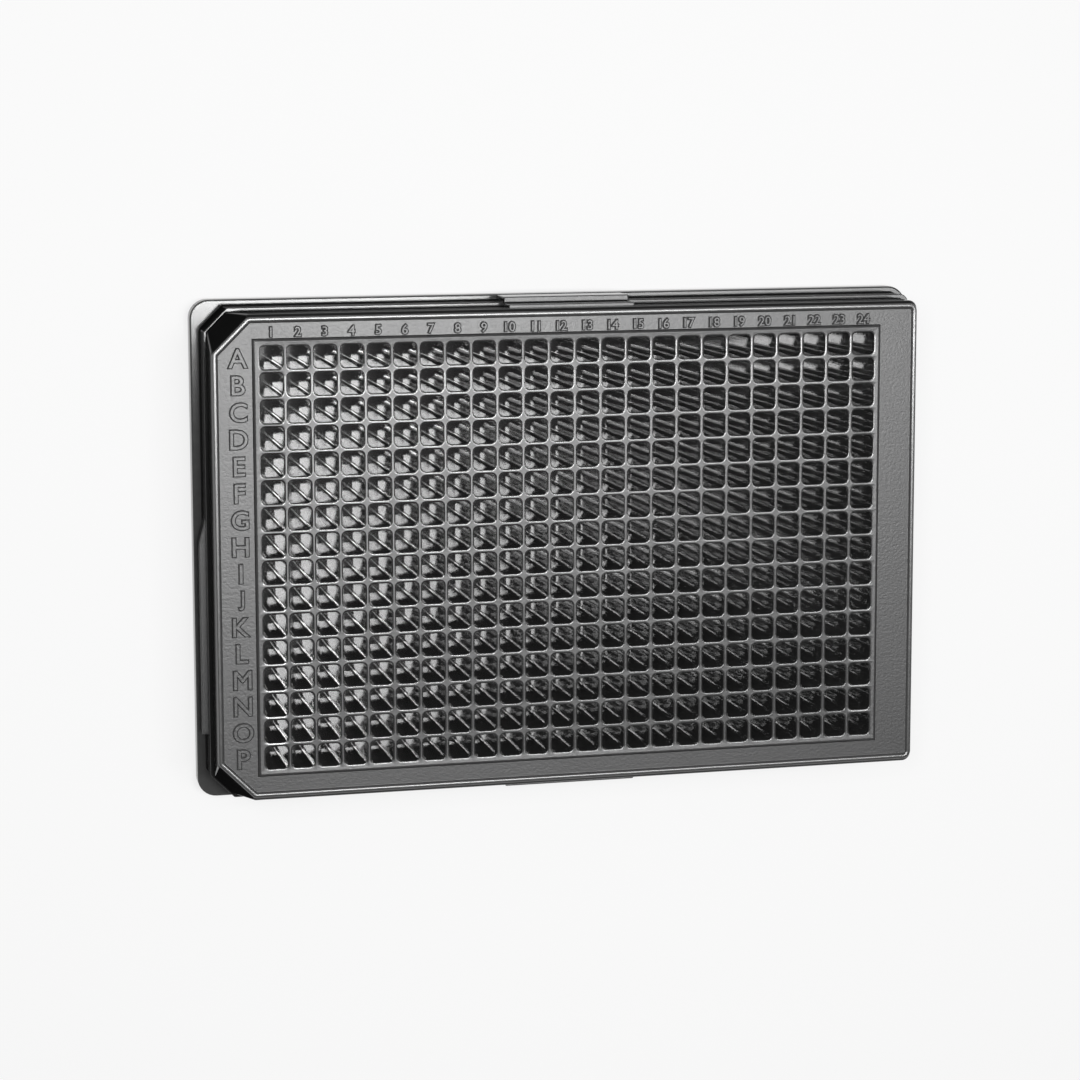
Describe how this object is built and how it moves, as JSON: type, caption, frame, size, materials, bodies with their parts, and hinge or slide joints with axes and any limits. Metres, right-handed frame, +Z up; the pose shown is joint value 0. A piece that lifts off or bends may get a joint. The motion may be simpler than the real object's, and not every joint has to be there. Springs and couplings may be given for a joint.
{
  "type": "well plate",
  "caption": "Black microplate with a grid of deep square wells, two chamfered index corners and a foot flange.",
  "frame": {"origin": "middle of the footprint, on the plane of the foot rim", "axes": "+X along the columns from 1 to 24, +Y towards row A, +Z up out of the wells"},
  "size_m": [0.1278, 0.0854, 0.0144],
  "materials": {
    "black_polystyrene": "gloss"
  },
  "bodies": {
    "root": {"plate": "black_polystyrene"}
  },
  "joints": []
}
